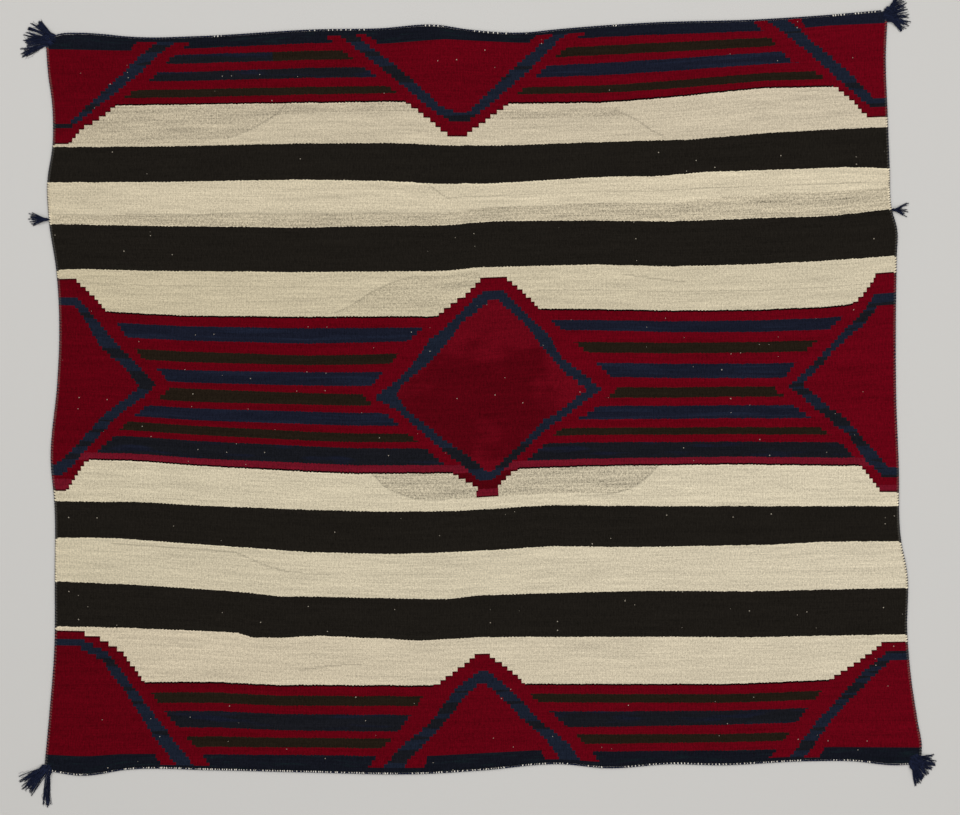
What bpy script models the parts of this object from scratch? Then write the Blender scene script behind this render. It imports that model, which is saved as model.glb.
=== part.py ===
"""A chief blanket, laid out flat with its corner tassels and side tufts. Metres, +Z up.

The underside lies on z = 0 and the origin is under the middle of the whole piece. +Y is the
warp direction, towards the end that slopes uphill, and +X runs across to the wider right side.
"""

import math
import random

import bmesh
import bpy
import numpy as np

MM = 0.001

# Sheet, cords and the gap between touching pieces
CLOTH_THICKNESS = 2.4 * MM
EDGE_CORD_DIAMETER = 3.2 * MM
PIECE_GAP = 0.3 * MM
OUTLINE_STEP = 30.0 * MM

# Corners of the woven panel, (x, y) in millimetres
CORNERS = {
    "top_left": (-855, 721),
    "top_right": (822, 777),
    "bottom_left": (-858, -738),
    "bottom_right": (888, -724),
}

# Each edge between its corners, as (how far along, how far out) in millimetres. The top and
# bottom are (x, y) from left to right, the two sides are (y, x) from the bottom up.
EDGES = {
    "top": (
        (-664, 719), (-562, 724), (-310, 738), (-190, 740), (-78, 747), (-16, 738),
        (106, 732), (154, 737), (342, 751), (570, 758), (710, 767),
    ),
    "bottom": (
        (-784, -748), (-696, -736), (-522, -737), (-350, -741), (-90, -744), (18, -737),
        (170, -725), (264, -733), (392, -725), (486, -727), (664, -719), (754, -719),
        (842, -727),
    ),
    "left": (
        (-608, -846), (-502, -838), (-360, -837), (-202, -838), (-124, -845), (34, -832),
        (116, -828), (260, -834), (354, -848), (432, -852), (514, -841), (600, -843),
        (650, -850),
    ),
    "right": (
        (-692, 890), (-644, 882), (-550, 868), (-464, 861), (-346, 861), (-282, 849),
        (-130, 844), (0, 839), (136, 838), (288, 840), (340, 841), (382, 830), (462, 826),
        (566, 822), (686, 818),
    ),
}

# Knots: plan radius, half height, and how high the middle lies, so that each has a flat spot
CORNER_KNOT = {"radius": 6.0 * MM, "half_height": 3.6 * MM, "middle": 3.0 * MM, "root_top": 4.2 * MM}
TUFT_KNOT = {"radius": 3.6 * MM, "half_height": 2.6 * MM, "middle": 2.1 * MM, "root_top": 3.9 * MM}

# Strands, four-sided, in a lower layer on the floor and an upper one resting on it
STRAND_WIDTH = 1.6 * MM
TIP_WIDTH = 1.1 * MM
STRAND_STEPS = 4
ROOT_BASE = 0.2 * MM
ROOT_OVERLAP = 1.5 * MM
UPPER_SHARE = 0.62

# Each tassel: corner, first and last strand's direction and their bend towards the tip in
# degrees, strands in the lower layer, and the shortest and longest strand in millimetres
TASSELS = (
    {"corner": "top_left", "first": 146, "last": 204, "bend": 6, "strands": 11, "short": 50, "long": 68},
    {"corner": "top_right", "first": -52, "last": 62, "bend": -5, "strands": 13, "short": 40, "long": 54},
    {"corner": "bottom_left", "first": 196, "last": 282, "bend": -2, "strands": 10, "short": 44, "long": 78},
    {"corner": "bottom_right", "first": -94, "last": 34, "bend": 12, "strands": 14, "short": 34, "long": 48},
)

# Each tuft: side, height on that side in millimetres, and its strands as above
TUFTS = (
    {"side": "left", "at": 361, "first": 157, "last": 199, "bend": 4, "strands": 6, "short": 32, "long": 46},
    {"side": "right", "at": 380, "first": -24, "last": 30, "bend": -4, "strands": 6, "short": 24, "long": 36},
)

# Colour (linear), roughness of each wool
WOOLS = {
    "cream_wool": ((0.58, 0.49, 0.34), 0.92),
    "navy_wool": ((0.012, 0.018, 0.045), 0.88),
}


# Scene and material helpers
def clear_scene():
    for thing in list(bpy.data.objects):
        bpy.data.objects.remove(thing, do_unlink=True)


def wool(name):
    colour, roughness = WOOLS[name]
    material = bpy.data.materials.get(name) or bpy.data.materials.new(name)
    material.use_nodes = True
    shader = material.node_tree.nodes["Principled BSDF"]
    shader.inputs["Base Color"].default_value = (*colour, 1.0)
    shader.inputs["Roughness"].default_value = roughness
    shader.inputs["Metallic"].default_value = 0.0
    return material


def add_object(name, mesh, material_name):
    thing = bpy.data.objects.new(name, mesh)
    bpy.context.scene.collection.objects.link(thing)
    thing.data.materials.append(wool(material_name))
    return thing


def mesh_from(shape, name):
    bmesh.ops.recalc_face_normals(shape, faces=shape.faces)
    mesh = bpy.data.meshes.new(name)
    shape.to_mesh(mesh)
    shape.free()
    return mesh


# Outline of the woven panel
def smooth_through(points):
    """Points about an outline step apart on a smooth curve through the given ones."""
    points = np.array(points, float)
    along, out = points[:, 0], points[:, 1]
    slopes = np.gradient(out, along)
    count = round((along[-1] - along[0]) * MM / OUTLINE_STEP)
    at = np.linspace(along[0], along[-1], count + 1)
    piece = np.clip(np.searchsorted(along, at, side="right") - 1, 0, len(along) - 2)
    width = along[piece + 1] - along[piece]
    t = (at - along[piece]) / width
    value = (
        (2 * t**3 - 3 * t**2 + 1) * out[piece]
        + (t**3 - 2 * t**2 + t) * width * slopes[piece]
        + (3 * t**2 - 2 * t**3) * out[piece + 1]
        + (t**3 - t**2) * width * slopes[piece + 1]
    )
    return np.column_stack([at, value])


def edge_points(side):
    """The edge's points as (x, y) in metres, left to right or from the bottom up."""
    if side in ("top", "bottom"):
        ends = CORNERS[f"{side}_left"], CORNERS[f"{side}_right"]
        return smooth_through([ends[0], *EDGES[side], ends[1]]) * MM
    ends = [CORNERS[f"{end}_{side}"][::-1] for end in ("bottom", "top")]
    return smooth_through([ends[0], *EDGES[side], ends[1]])[:, ::-1] * MM


def panel_outline():
    """The whole outline, anticlockwise from the bottom left corner."""
    sides = (
        edge_points("bottom"),
        edge_points("right"),
        edge_points("top")[::-1],
        edge_points("left")[::-1],
    )
    return np.concatenate([side[:-1] for side in sides])


def make_cloth():
    shape = bmesh.new()
    face = shape.faces.new([shape.verts.new((x, y, 0.0)) for x, y in panel_outline()])
    grown = bmesh.ops.extrude_face_region(shape, geom=[face])
    risen = [part for part in grown["geom"] if isinstance(part, bmesh.types.BMVert)]
    bmesh.ops.translate(shape, verts=risen, vec=(0.0, 0.0, CLOTH_THICKNESS))
    add_object("blanket_cloth", mesh_from(shape, "blanket_cloth"), "cream_wool")


# Edge cords, laid along the panel and stopped short of the corner knots
def outward(side, points):
    """Unit vectors across the edge at each point, away from the panel."""
    run = np.gradient(points, axis=0)
    run /= np.linalg.norm(run, axis=1)[:, None]
    turn = 1 if side in ("top", "left") else -1
    return np.column_stack([-run[:, 1], run[:, 0]]) * turn


def cord_line(side):
    """The cord's middle line, offset from every outline point so that the gap stays even."""
    points = edge_points(side)
    return points + outward(side, points) * (EDGE_CORD_DIAMETER / 2 + PIECE_GAP)


def corner_knot_middle(corner):
    x, y = np.array(CORNERS[corner]) * MM
    # The knot is narrower at the height of the cloth's face than at its own middle
    rise = (CLOTH_THICKNESS - CORNER_KNOT["middle"]) / CORNER_KNOT["half_height"]
    reach = CORNER_KNOT["radius"] * math.sqrt(1 - rise**2) + PIECE_GAP
    diagonal = reach * math.sqrt(0.5)
    return np.array([x + math.copysign(diagonal, x), y + math.copysign(diagonal, y)])


def trimmed(line, knots):
    """The line without the stretch at each end that the two corner knots take up."""
    clear = CORNER_KNOT["radius"] + PIECE_GAP
    for knot in knots:
        while np.linalg.norm(line[1] - knot) < clear:
            line = line[1:]
        start, run = line[0], line[1] - line[0]
        length = np.linalg.norm(run)
        run = run / length
        beside = abs(run[0] * (knot - start)[1] - run[1] * (knot - start)[0])
        nearest = max(0.0, beside - EDGE_CORD_DIAMETER / 2)
        cut = (knot - start) @ run + math.sqrt(clear**2 - nearest**2)
        line = np.concatenate([[start + run * cut], line[1:]])[::-1]
    return line


def make_edge_cord(side):
    ends = ("bottom_left", "bottom_right") if side == "bottom" else ("top_left", "top_right")
    if side in ("left", "right"):
        ends = (f"bottom_{side}", f"top_{side}")
    line = trimmed(cord_line(side), [corner_knot_middle(end) for end in ends])
    curve = bpy.data.curves.new(f"edge_cord_{side}", "CURVE")
    curve.dimensions = "3D"
    curve.bevel_depth = EDGE_CORD_DIAMETER / 2
    curve.bevel_resolution = 2
    curve.use_fill_caps = True
    spline = curve.splines.new("POLY")
    spline.points.add(len(line) - 1)
    for point, (x, y) in zip(spline.points, line):
        point.co = (x, y, EDGE_CORD_DIAMETER / 2, 1.0)
    add_object(f"edge_cord_{side}", curve, "navy_wool")


# Knots with their fans of strands
def knot_mesh(name, middle, knot):
    shape = bmesh.new()
    bmesh.ops.create_uvsphere(shape, u_segments=12, v_segments=8, radius=1.0)
    bmesh.ops.scale(shape, verts=shape.verts, vec=(knot["radius"], knot["radius"], knot["half_height"]))
    bmesh.ops.translate(shape, verts=shape.verts, vec=(*middle, knot["middle"]))
    cut = bmesh.ops.bisect_plane(
        shape,
        geom=[*shape.verts, *shape.edges, *shape.faces],
        plane_co=(0.0, 0.0, 0.0),
        plane_no=(0.0, 0.0, -1.0),
        clear_outer=True,
    )
    rim = [part for part in cut["geom_cut"] if isinstance(part, bmesh.types.BMEdge)]
    bmesh.ops.contextual_create(shape, geom=rim)
    return mesh_from(shape, name)


def exit_radius(row):
    """How far out from the knot the strands of the lower layer first stand apart."""
    pitch = math.radians(row["last"] - row["first"]) / (row["strands"] - 1)
    return (STRAND_WIDTH + 2 * PIECE_GAP) / pitch


def root_mesh(name, middle, row, knot):
    """The bound root of the fan, a wedge that the knot and all the strands run into."""
    shape = bmesh.new()
    reach = exit_radius(row)
    count = row["strands"]
    spread = np.radians(np.linspace(row["first"] - 3, row["last"] + 3, count))
    rings = []
    for height in (ROOT_BASE, knot["root_top"]):
        hub = shape.verts.new((*middle, height))
        rim = [
            shape.verts.new((middle[0] + reach * math.cos(a), middle[1] + reach * math.sin(a), height))
            for a in spread
        ]
        rings.append([hub, *rim])
    low, high = rings
    shape.faces.new(low)
    shape.faces.new(high)
    for i in range(len(low)):
        j = (i + 1) % len(low)
        shape.faces.new([low[i], low[j], high[j], high[i]])
    return mesh_from(shape, name)


def add_strand(shape, middle, angle, bend, start, length, reach, base):
    """One four-sided strand that starts inside the root and lies level on what is below it."""
    rings = []
    for i in range(STRAND_STEPS + 1):
        share = i / STRAND_STEPS
        out = start + (length - start) * share
        turn = angle + bend * (out / reach) ** 2
        across = np.array([-math.sin(turn), math.cos(turn)])
        spot = middle + out * np.array([math.cos(turn), math.sin(turn)])
        half = (STRAND_WIDTH + (TIP_WIDTH - STRAND_WIDTH) * share) / 2
        left, right = spot + across * half, spot - across * half
        rings.append(
            [
                shape.verts.new((*left, base)),
                shape.verts.new((*right, base)),
                shape.verts.new((*right, base + STRAND_WIDTH)),
                shape.verts.new((*left, base + STRAND_WIDTH)),
            ]
        )
    shape.faces.new(rings[0])
    shape.faces.new(rings[-1])
    for near, far in zip(rings, rings[1:]):
        for i in range(4):
            j = (i + 1) % 4
            shape.faces.new([near[i], near[j], far[j], far[i]])


def strands_mesh(name, middle, row, seed):
    shape = bmesh.new()
    chance = random.Random(seed)
    start = exit_radius(row) - ROOT_OVERLAP
    bend = math.radians(row["bend"])
    reach = row["long"] * MM
    for i in range(row["strands"]):
        share = i / (row["strands"] - 1)
        angle = math.radians(row["first"] + (row["last"] - row["first"]) * share)
        length = chance.uniform(row["short"], row["long"]) * MM
        add_strand(shape, middle, angle, bend, start, length, reach, 0.0)
        if i % 2 == 1:
            above = STRAND_WIDTH + PIECE_GAP
            add_strand(shape, middle, angle, bend, start, length * UPPER_SHARE, reach, above)
    return mesh_from(shape, name)


def helper(name, mesh):
    thing = bpy.data.objects.new(name, mesh)
    bpy.context.scene.collection.objects.link(thing)
    thing.hide_render = True
    thing.display_type = "WIRE"
    return thing


def make_tassel(name, middle, row, knot, seed):
    tassel = add_object(name, knot_mesh(name, middle, knot), "navy_wool")
    joined = (
        helper(f"{name}.root", root_mesh(f"{name}.root", middle, row, knot)),
        helper(f"{name}.strands", strands_mesh(f"{name}.strands", middle, row, seed)),
    )
    for part in joined:
        union = tassel.modifiers.new(part.name, "BOOLEAN")
        union.operation = "UNION"
        union.solver = "EXACT"
        union.object = part


def tuft_middle(row):
    """The tuft's knot lies against the outer side of the side cord."""
    side = row["side"]
    line = cord_line(side)
    height = row["at"] * MM
    x = np.interp(height, line[:, 1], line[:, 0])
    reach = EDGE_CORD_DIAMETER / 2 + PIECE_GAP + TUFT_KNOT["radius"]
    return np.array([x + math.copysign(reach, x), height])


def main():
    clear_scene()
    make_cloth()
    for side in EDGES:
        make_edge_cord(side)
    for seed, row in enumerate(TASSELS):
        corner = row["corner"]
        make_tassel(f"corner_tassel_{corner}", corner_knot_middle(corner), row, CORNER_KNOT, seed)
    for seed, row in enumerate(TUFTS, start=len(TASSELS)):
        make_tassel(f"side_tuft_{row['side']}", tuft_middle(row), row, TUFT_KNOT, seed)


main()
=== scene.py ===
# Chief blanket laid flat: wool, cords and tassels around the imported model.
# Every table is in millimetres on the blanket, +Y along the warp, unless its note says otherwise.
import math
import random

import bpy
import numpy as np
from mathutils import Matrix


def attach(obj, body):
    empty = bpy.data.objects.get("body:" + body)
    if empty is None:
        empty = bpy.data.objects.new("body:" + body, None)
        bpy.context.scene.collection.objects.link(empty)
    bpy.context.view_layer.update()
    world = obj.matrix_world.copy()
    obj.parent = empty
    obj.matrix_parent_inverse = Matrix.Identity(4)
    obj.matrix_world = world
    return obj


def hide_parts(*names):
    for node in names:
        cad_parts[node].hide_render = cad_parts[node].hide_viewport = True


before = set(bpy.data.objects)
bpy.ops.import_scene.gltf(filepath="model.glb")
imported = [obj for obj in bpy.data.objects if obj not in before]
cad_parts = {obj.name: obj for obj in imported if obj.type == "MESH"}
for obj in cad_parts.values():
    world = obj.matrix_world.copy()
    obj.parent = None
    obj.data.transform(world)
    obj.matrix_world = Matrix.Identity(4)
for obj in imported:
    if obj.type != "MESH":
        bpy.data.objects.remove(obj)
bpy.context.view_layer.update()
bpy.ops.object.select_all(action="DESELECT")
mm = 0.001

# Studio
studio = {
    "viewWidth": 1920, "viewMiddle": (10, -15), "lens": 85, "sensor": 36,
    "floorSize": 9000, "floorDrop": 0.6, "floorShade": (0.56, 0.55, 0.53),
    "floorRoughness": 0.9, "skyShade": (1.0, 0.99, 0.975), "skyStrength": 0.34, "lampPower": 50.5,
    "lampSize": 2600, "lampHeight": 3400,
    "lampPlaces": ((-2500, 900), (2600, 500), (300, -2700), (-200, 2800)),
    "lampShares": (0.95, 1.1, 0.9, 0.9),
}


def newMaterial(name):
    material = bpy.data.materials.new(name)
    material.use_nodes = True
    tree = material.node_tree
    return material, tree, tree.nodes["Principled BSDF"]


def makeStudio():
    scene = bpy.context.scene
    scene.view_settings.view_transform = "Standard"
    high = studio["viewWidth"] * studio["lens"] / studio["sensor"] * mm
    across, up = (value * mm for value in studio["viewMiddle"])
    bpy.ops.object.camera_add(location=(across, up, high), rotation=(0, 0, 0))
    camera = bpy.context.object
    camera.data.lens = studio["lens"]
    camera.data.sensor_width = studio["sensor"]
    scene.camera = camera

    world = bpy.data.worlds.new("softRoom")
    scene.world = world
    world.use_nodes = True
    sky = world.node_tree.nodes["Background"]
    sky.inputs["Color"].default_value = (*studio["skyShade"], 1.0)
    sky.inputs["Strength"].default_value = studio["skyStrength"]

    for place, share in zip(studio["lampPlaces"], studio["lampShares"]):
        spot = np.array([*place, studio["lampHeight"]]) * mm
        lean = math.atan2(math.hypot(*spot[:2]), spot[2])
        turn = math.atan2(spot[1], spot[0]) + math.pi / 2
        bpy.ops.object.light_add(type="AREA", location=spot, rotation=(lean, 0, turn))
        lamp = bpy.context.object.data
        lamp.energy = studio["lampPower"] * share
        lamp.size = studio["lampSize"] * mm

    drop = -studio["floorDrop"] * mm
    bpy.ops.mesh.primitive_plane_add(size=studio["floorSize"] * mm, location=(0, 0, drop))
    floor = bpy.context.object
    floor.name = "studio_floor"
    material, _, shader = newMaterial("palePaperFloor")
    shader.inputs["Base Color"].default_value = (*studio["floorShade"], 1.0)
    shader.inputs["Roughness"].default_value = studio["floorRoughness"]
    floor.data.materials.append(material)


# The woven panel's outline. Top and bottom run left to right as (x, y), the sides run up as (y, x)
outline = {
    "top": (
        (-855, 721), (-830, 729), (-790, 731), (-740, 728), (-700, 724), (-664, 722), (-562, 724),
        (-310, 738), (-190, 740), (-78, 747), (-16, 738), (106, 732), (154, 737), (342, 751), (570, 758),
        (710, 767), (822, 777),
    ),
    "bottom": (
        (-858, -738), (-784, -748), (-696, -736), (-522, -737), (-350, -741), (-90, -744), (18, -737),
        (170, -725), (264, -733), (392, -725), (486, -727), (664, -719), (754, -719), (842, -727),
        (888, -724),
    ),
    "left": (
        (-738, -858), (-608, -846), (-502, -838), (-360, -837), (-202, -838), (-124, -845), (34, -832),
        (116, -828), (260, -834), (354, -848), (432, -852), (514, -841), (600, -843), (650, -850),
        (721, -855),
    ),
    "right": (
        (-724, 888), (-692, 890), (-644, 882), (-550, 868), (-464, 861), (-346, 861), (-282, 849),
        (-130, 844), (0, 839), (136, 838), (288, 840), (340, 841), (382, 830), (462, 826), (566, 822),
        (686, 818), (777, 822),
    ),
}

# Where the wefts drift: each long colour change, bottom to top, with its level on the loom and the
# heights that it has on the cloth as (x, y)
colourChanges = {
    "navyEndBelow": (-705, ((-854, -710), (-780, -714), (-710, -709), (-522, -708), (-330, -709),
                            (-94, -713), (126, -701), (250, -702), (526, -700), (710, -695), (890, -696))),
    "redBelow": (-566, ((-842, -562), (-658, -563), (-522, -563), (-394, -569), (-310, -569),
                        (-90, -570), (96, -567), (330, -567), (502, -567), (704, -559), (866, -555))),
    "whiteSix": (-470, ((-842, -452), (-694, -455), (-472, -465), (-456, -474), (-394, -475), (-310, -471),
                        (-176, -477), (-108, -481), (10, -474), (330, -473), (548, -474), (860, -468))),
    "brownFour": (-383, ((-836, -362), (-676, -369), (-458, -384), (-394, -392), (-310, -393), (-176, -396),
                         (-56, -398), (10, -390), (148, -386), (330, -381), (548, -382), (862, -375))),
    "whiteFive": (-291, ((-836, -275), (-736, -275), (-596, -285), (-330, -304), (-176, -308), (-68, -305),
                         (84, -297), (148, -292), (330, -294), (594, -289), (700, -283), (846, -282))),
    "brownThree": (-212, ((-838, -202), (-664, -204), (-542, -211), (-330, -219), (-190, -223),
                          (-46, -222), (84, -214), (148, -210), (388, -212), (846, -212))),
    "whiteFour": (-134, ((-842, -118), (-772, -119), (-664, -123), (-542, -132), (-310, -145), (-242, -148),
                         (-46, -147), (88, -138), (250, -132), (330, -131), (526, -129), (843, -133))),
    "redMiddle": (178, ((-835, 182), (-742, 178), (-582, 169), (-350, 167), (-70, 168), (124, 183),
                        (250, 182), (388, 179), (570, 181), (710, 187), (764, 194), (840, 200))),
    "whiteThree": (265, ((-834, 260), (-786, 262), (-624, 258), (-350, 256), (-64, 258), (18, 266),
                         (250, 271), (388, 267), (570, 272), (710, 279), (840, 289))),
    "brownTwo": (357, ((-848, 352), (-624, 348), (-350, 345), (-146, 349), (-64, 349), (38, 358),
                       (250, 359), (388, 357), (570, 364), (710, 368), (828, 382))),
    "whiteTwo": (446, ((-848, 435), (-624, 436), (-350, 441), (-146, 437), (-84, 432), (38, 433),
                       (270, 447), (364, 447), (456, 456), (618, 461), (754, 466), (826, 463))),
    "brownOne": (518, ((-836, 506), (-624, 507), (-350, 513), (-146, 514), (-64, 509), (58, 509),
                       (250, 516), (434, 521), (570, 533), (710, 541), (822, 546))),
    "whiteOne": (600, ((-718, 588), (-542, 591), (-310, 594), (-134, 596), (68, 592), (250, 594),
                       (342, 600), (570, 623), (710, 626), (822, 628))),
    "redAbove": (720, ((-844, 703), (-706, 700), (-562, 703), (-310, 714), (-186, 714), (-64, 724),
                       (98, 716), (250, 726), (570, 738), (710, 751), (820, 756))),
}

loom = {
    "halfWidth": 842, "bottomLevel": -732, "topLevel": 746, "rowHeight": 2.9, "columnWidth": 27,
    "warpPitch": 3.4, "thickness": 2.4, "edgeRound": 2.2, "edgeSteps": (0.0, 0.5, 1.3), "lift": 0.9,
    "outerStepRows": 3, "blueStepRows": 2.5, "offCloth": 9000,
}

# Thin stripes in the red zones: the lower and upper edge's height at each station, left to right.
# "span" keeps a stripe to part of the width, and "from" and "to" name the zone's colour changes
stripeZones = (
    {
        "from": "whiteOne", "to": "redAbove", "stations": (-542, -330, 210, 530),
        "stripes": (
            {"wool": "ink", "low": (674, 680, 688, 704), "high": (692, 698, 706, 722), "span": (-842, -390)},
            {"wool": "olive", "low": (674, 680, 688, 704), "high": (692, 698, 706, 722), "span": (-390, 842)},
            {"wool": "ink", "low": (639, 644, 648, 668), "high": (657, 664, 672, 692), "span": (-842, -100)},
            {"wool": "navy", "low": (639, 644, 648, 668), "high": (657, 664, 672, 692), "span": (-100, 842)},
            {"wool": "olive", "low": (606, 611, 614, 634), "high": (622, 626, 628, 650)},
        ),
    },
    {
        "from": "whiteFour", "to": "redMiddle", "stations": (-542, -330, 210, 526),
        "stripes": (
            {"wool": "navy", "low": (118, 113, 140, 136), "high": (147, 144, 160, 159)},
            {"wool": "olive", "low": (75, 70, 95, 95), "high": (96, 89, 116, 116)},
            {"wool": "navy", "low": (34, 29, 47, 44), "high": (59, 56, 75, 73)},
            {"wool": "olive", "low": (-4, -9, 4, 7), "high": (22, 14, 25, 27)},
            {"wool": "navy", "low": (-41, -48, -39, -36), "high": (-17, -23, -12, -10)},
            {"wool": "olive", "low": (-70, -81, -70, -68), "high": (-52, -63, -56, -54)},
            {"wool": "ink", "low": (-117, -126, -118, -113), "high": (-82, -92, -85, -83)},
        ),
    },
    {
        "from": "navyEndBelow", "to": "redBelow", "stations": (-522, -330, 150, 526),
        "stripes": (
            {"wool": "olive", "low": (-605, -611, -604, -604), "high": (-584, -591, -587, -587)},
            {"wool": "ink", "low": (-654, -661, -654, -648), "high": (-621, -628, -622, -620)},
            {"wool": "olive", "low": (-693, -694, -687, -683), "high": (-672, -675, -667, -667)},
        ),
    },
)

# The stepped arms of the nine motifs, top to bottom as (x, y): the red border's outer side, the
# blue line's two sides, and the inner foot that reaches into the navy end. The loom turns each into steps
arms = {
    "top": {
        "left": {
            "outer": ((-566, 716), (-604, 688), (-648, 642), (-696, 608), (-732, 576), (-786, 542),
                      (-812, 512)),
            "blueOut": ((-598, 716), (-686, 640), (-812, 542)),
            "blueIn": ((-634, 716), (-718, 640), (-814, 552)),
            "foot": ((-668, 716), (-690, 702)),
        },
        "midLeft": {
            "outer": ((-302, 729), (-208, 656), (-132, 592), (-48, 526)),
            "blueOut": ((-272, 729), (-198, 672), (-102, 592), (-50, 556)),
            "blueIn": ((-242, 732), (-162, 672), (-74, 592), (-44, 576)),
            "foot": ((-234, 732), (-194, 718)),
        },
        "midRight": {
            "outer": ((224, 735), (182, 704), (100, 624), (62, 588), (-22, 526)),
            "blueOut": ((190, 735), (106, 656), (50, 608), (-18, 554)),
            "blueIn": ((160, 732), (86, 672), (-16, 574)),
            "foot": ((130, 732), (110, 716)),
        },
        "right": {
            "outer": ((554, 758), (598, 712), (628, 680), (692, 648), (752, 600), (786, 564)),
            "blueOut": ((582, 758), (644, 712), (702, 664), (774, 600), (792, 586)),
            "blueIn": ((622, 762), (678, 712), (756, 648), (768, 632), (796, 604)),
            "foot": ((650, 762), (662, 752)),
        },
    },
    "middle": {
        "left": {
            "outer": ((-802, 243), (-768, 212), (-714, 154), (-668, 88), (-622, 50), (-608, 26), (-670, -22),
                      (-726, -76), (-784, -130), (-812, -172), (-816, -182)),
            "blueOut": ((-796, 206), (-754, 158), (-724, 122), (-672, 68), (-636, 30), (-702, -22),
                        (-756, -76), (-804, -130), (-826, -150)),
            "blueIn": ((-802, 190), (-778, 158), (-746, 104), (-702, 68), (-670, 28), (-734, -22),
                       (-784, -76), (-818, -112), (-836, -128)),
        },
        "midLeft": {
            "outer": ((16, 245), (-18, 212), (-66, 176), (-132, 120), (-204, 32), (-226, 8), (-162, -40),
                      (-80, -112), (-42, -148), (-8, -168), (4, -172), (4, -195)),
            "blueOut": ((18, 220), (-10, 194), (-66, 140), (-90, 122), (-128, 68), (-164, 32), (-202, 6),
                        (-154, -22), (-92, -76), (-26, -130), (10, -162)),
            "blueIn": ((32, 200), (-26, 156), (-50, 122), (-100, 68), (-144, 32), (-158, 12), (-134, -22),
                       (-12, -112), (24, -142)),
        },
        "midRight": {
            "outer": ((60, 245), (100, 212), (128, 180), (174, 140), (266, 50), (286, 22), (236, -22),
                      (174, -58), (116, -112), (74, -148), (52, -168), (46, -174), (46, -195)),
            "blueOut": ((56, 220), (98, 176), (152, 122), (172, 86), (220, 50), (254, 20), (196, -22),
                        (144, -58), (106, -94), (48, -148), (34, -162)),
            "blueIn": ((44, 202), (94, 158), (136, 104), (186, 50), (226, 22), (168, -22), (138, -40),
                       (104, -76), (46, -130), (36, -142)),
        },
        "right": {
            "outer": ((804, 253), (784, 220), (716, 148), (642, 76), (598, 20), (664, -32), (740, -94),
                      (790, -158), (812, -184)),
            "blueOut": ((798, 212), (782, 184), (714, 112), (660, 58), (626, 27), (676, -14), (746, -68),
                        (782, -122), (816, -154)),
            "blueIn": ((806, 190), (774, 148), (730, 112), (654, 30), (706, -14), (736, -32), (784, -86),
                       (816, -122), (824, -134)),
        },
    },
    "bottom": {
        "left": {
            "outer": ((-806, -462), (-758, -472), (-706, -504), (-672, -548), (-614, -632), (-542, -712),
                      (-530, -730)),
            "blueOut": ((-790, -477), (-736, -504), (-698, -552), (-626, -648), (-562, -730)),
            "blueIn": ((-796, -492), (-746, -520), (-698, -584), (-648, -664), (-596, -730)),
            "foot": ((-640, -710), (-624, -730)),
        },
        "midLeft": {
            "outer": ((6, -506), (-22, -528), (-66, -560), (-100, -586), (-136, -640), (-178, -688),
                      (-214, -734)),
            "blueOut": ((10, -540), (-38, -576), (-86, -640), (-142, -688), (-184, -734)),
            "blueIn": ((8, -568), (-18, -592), (-56, -640), (-118, -704), (-142, -734)),
            "foot": ((-94, -716), (-104, -734)),
        },
        "midRight": {
            "outer": ((22, -506), (56, -528), (94, -560), (114, -592), (154, -624), (206, -672), (248, -723)),
            "blueOut": ((24, -540), (68, -576), (130, -640), (188, -688), (214, -726)),
            "blueIn": ((22, -568), (48, -592), (96, -640), (136, -672), (174, -724)),
            "foot": ((130, -704), (148, -723)),
        },
        "right": {
            "outer": ((818, -484), (782, -512), (710, -560), (684, -592), (624, -672), (588, -716)),
            "blueOut": ((826, -502), (774, -544), (716, -608), (658, -672), (626, -716)),
            "blueIn": ((834, -520), (806, -544), (742, -608), (690, -672), (656, -716)),
            "foot": ((700, -696), (684, -716)),
        },
    },
}
# Where the cream was carded with more grey: each patch's left and right side, top to bottom as
# (x, y), or none where it runs on to the selvage or the motif, and how strong it is. Of two patches
# side by side in the same rows, one is "second"
greyPatches = (
    {"right": ((-110, 593), (-110, 576), (-380, 573), (-410, 562), (-440, 546), (-470, 532), (-500, 522),
               (-550, 514)), "strength": 0.6},
    {"left": ((0, 582), (0, 562)), "right": ((290, 579), (300, 572), (324, 560)), "strength": 0.7,
     "second": True},
    {"left": ((830, 424), (530, 408), (410, 395), (30, 386), (-20, 378), (-70, 372), (-470, 371.5),
              (-845, 368.5), (-846, 353)), "strength": 1.0},
    {"left": ((-110, 250), (-160, 237), (-210, 214), (-250, 187), (-280, 174)),
     "right": ((10, 252), (10, 184)), "strength": 0.5},
    {"left": ((-206, -147), (-180, -174), (-160, -184), (-120, -198)),
     "right": ((366, -132), (340, -158), (310, -178), (260, -190)), "strength": 1.1},
)
# Lazy lines, where one part of a band was woven before the next, top to bottom as (x, y)
lazyLines = (
    ((-378, 592), (-390, 578), (-410, 562), (-440, 545), (-470, 532), (-500, 522)),
    ((300, 572), (328, 557), (354, 538), (380, 526)),
    ((-94, 432), (-60, 406), (-46, 401)),
    ((-110, 250), (-160, 237), (-210, 214), (-250, 187), (-280, 174)),
    ((-70, 373), (-470, 372.5), (-845, 369.5)),
    ((294, 252), (420, 236)),
    ((-206, -147), (-180, -174), (-160, -184), (-120, -198), (-60, -200)),
    ((366, -132), (340, -158), (310, -178), (260, -190), (200, -192)),
    ((-770, -284), (-480, -304), (-410, -334), (-370, -344), (-290, -350)),
    ((-210, -527), (-290, -531), (-350, -540)),
)
# Darker wefts in the cream, each as its lower and upper level and its left and right end
weftStreaks = ((415.6, 417.4, -46, 900), (214.2, 215.7, 120, 900), (235.0, 236.4, -700, -250))
armOrder = ("left", "midLeft", "midRight", "right")
lineOrder = ("outer", "blueOut", "blueIn", "foot")


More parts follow.
